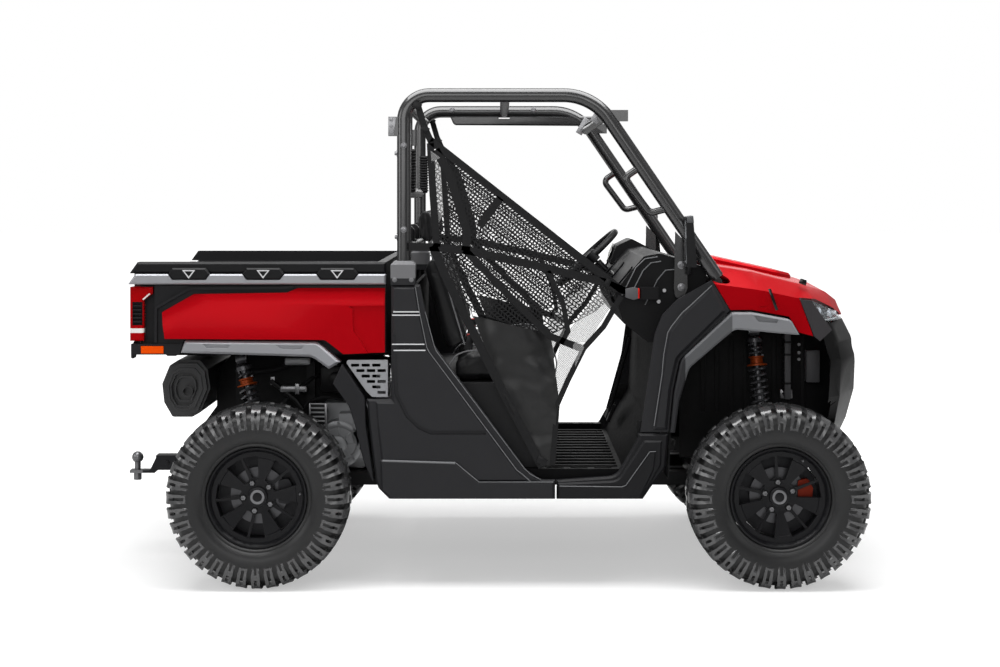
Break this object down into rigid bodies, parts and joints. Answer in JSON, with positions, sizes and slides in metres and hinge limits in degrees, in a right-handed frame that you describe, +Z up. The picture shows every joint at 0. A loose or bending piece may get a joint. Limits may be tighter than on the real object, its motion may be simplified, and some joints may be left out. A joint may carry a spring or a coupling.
{
  "type": "side by side utility vehicle",
  "caption": "Open-cab side by side utility vehicle with roll cage, bench seat, side nets, tipping cargo bed, tow ball and knobbly tyres.",
  "frame": {"origin": "ground point under the middle of the bounding box", "axes": "+X forward, +Y to the vehicle's left, +Z up"},
  "size_m": [3.1108, 1.615, 1.9759],
  "materials": {
    "tyre_rubber": "matt moulded rubber",
    "rim_paint": "satin dark grey cast wheel",
    "machined_steel": "bright machined steel",
    "frame_paint": "satin black",
    "cage_paint": "satin black powder coat",
    "spring_paint": "orange-red springs on dark dampers",
    "cast_alloy": "as cast",
    "exhaust_metal": "heat-resistant black",
    "red_paint": "metallic red body plastic",
    "dark_plastic": "grained dark grey plastic",
    "flare_plastic": "grained mid grey plastic",
    "silver_plastic": "satin silver plastic",
    "seat_vinyl": "black seat cover",
    "webbing": "woven black webbing",
    "lamp_lens": "clear lens",
    "tail_red": "red lamp lens"
  },
  "bodies": {
    "chassis": {"front_arms": "frame_paint", "rear_suspension": "frame_paint", "shocks": "spring_paint", "half_shafts": "frame_paint", "tie_rods": "machined_steel", "frame": "frame_paint", "skid_plate": "dark_plastic", "engine": "cast_alloy", "gearboxes": "cast_alloy", "exhaust": "exhaust_metal", "tow_hitch": "machined_steel", "cage_left": "cage_paint", "cage_right": "cage_paint", "cage_cross": "cage_paint", "floor": "dark_plastic", "seat_base": "dark_plastic", "seat_cushions": "seat_vinyl", "seat_backs": "seat_vinyl", "seat_belts": "webbing", "dashboard": "dark_plastic", "pedals": "dark_plastic", "rear_side_panels": "dark_plastic", "sill_panels": "dark_plastic", "cowl_panels": "dark_plastic", "arch_flares": "flare_plastic", "wheel_liners": "dark_plastic", "side_vents": "silver_plastic", "front_fenders": "red_paint", "fascia": "dark_plastic", "headlamps": "lamp_lens", "radiator": "cast_alloy", "mirrors": "dark_plastic", "net_left": "webbing", "net_right": "webbing"},
    "steer_left": {"knuckle_left": "cast_alloy"},
    "steer_right": {"knuckle_right": "cast_alloy"},
    "wheel_front_left": {"tyre_front_left": "tyre_rubber", "rim_front_left": "rim_paint", "disc_front_left": "machined_steel"},
    "wheel_front_right": {"tyre_front_right": "tyre_rubber", "rim_front_right": "rim_paint", "disc_front_right": "machined_steel"},
    "wheel_rear_left": {"tyre_rear_left": "tyre_rubber", "rim_rear_left": "rim_paint", "disc_rear_left": "machined_steel"},
    "wheel_rear_right": {"tyre_rear_right": "tyre_rubber", "rim_rear_right": "rim_paint", "disc_rear_right": "machined_steel"},
    "steering_wheel": {"steering_wheel": "dark_plastic"},
    "hood": {"hood": "red_paint"},
    "bed": {"bed_tub": "dark_plastic", "bed_rails": "dark_plastic", "bed_strips": "silver_plastic", "bed_panels": "red_paint", "tail_lamps": "tail_red"},
    "tailgate": {"tailgate": "dark_plastic"}
  },
  "joints": [
    {"name": "steer_right", "type": "hinge", "parent": "chassis", "child": "steer_right", "pos_m": [1.16, -0.6, 0.362], "axis": [0, 0, 1], "range_deg": [-27, 27]},
    {"name": "steer_left", "type": "hinge", "parent": "chassis", "child": "steer_left", "pos_m": [1.16, 0.6, 0.362], "axis": [0, 0, 1], "range_deg": [-27, 27]},
    {"name": "steering_wheel_turn", "type": "hinge", "parent": "chassis", "child": "steering_wheel", "pos_m": [0.465, 0.43, 1.261], "axis": [-0.6822, 0, 0.7312], "range_deg": [-275, 275]},
    {"name": "spin_front_left", "type": "hinge", "parent": "steer_left", "child": "wheel_front_left", "pos_m": [1.16, 0.6895, 0.362], "axis": [0, 1, 0], "continuous": true},
    {"name": "spin_front_right", "type": "hinge", "parent": "steer_right", "child": "wheel_front_right", "pos_m": [1.16, -0.6895, 0.362], "axis": [0, 1, 0], "continuous": true},
    {"name": "spin_rear_left", "type": "hinge", "parent": "chassis", "child": "wheel_rear_left", "pos_m": [-0.895, 0.6695, 0.362], "axis": [0, 1, 0], "continuous": true},
    {"name": "spin_rear_right", "type": "hinge", "parent": "chassis", "child": "wheel_rear_right", "pos_m": [-0.895, -0.6695, 0.362], "axis": [0, 1, 0], "continuous": true},
    {"name": "hood_hinge", "type": "hinge", "parent": "chassis", "child": "hood", "pos_m": [0.912, 0, 1.285], "axis": [0, -1, 0], "range_deg": [0, 50]},
    {"name": "bed_tilt", "type": "hinge", "parent": "chassis", "child": "bed", "pos_m": [-1.312, 0, 0.897], "axis": [0, -1, 0], "range_deg": [0, 38]},
    {"name": "tailgate_hinge", "type": "hinge", "parent": "bed", "child": "tailgate", "pos_m": [-1.39, 0, 0.958], "axis": [0, -1, 0], "range_deg": [0, 90]}
  ],
  "couplings": [
    {"joint": "steer_left", "follows": "steer_right", "ratio": 1},
    {"joint": "steering_wheel_turn", "follows": "steer_right", "ratio": 10}
  ]
}
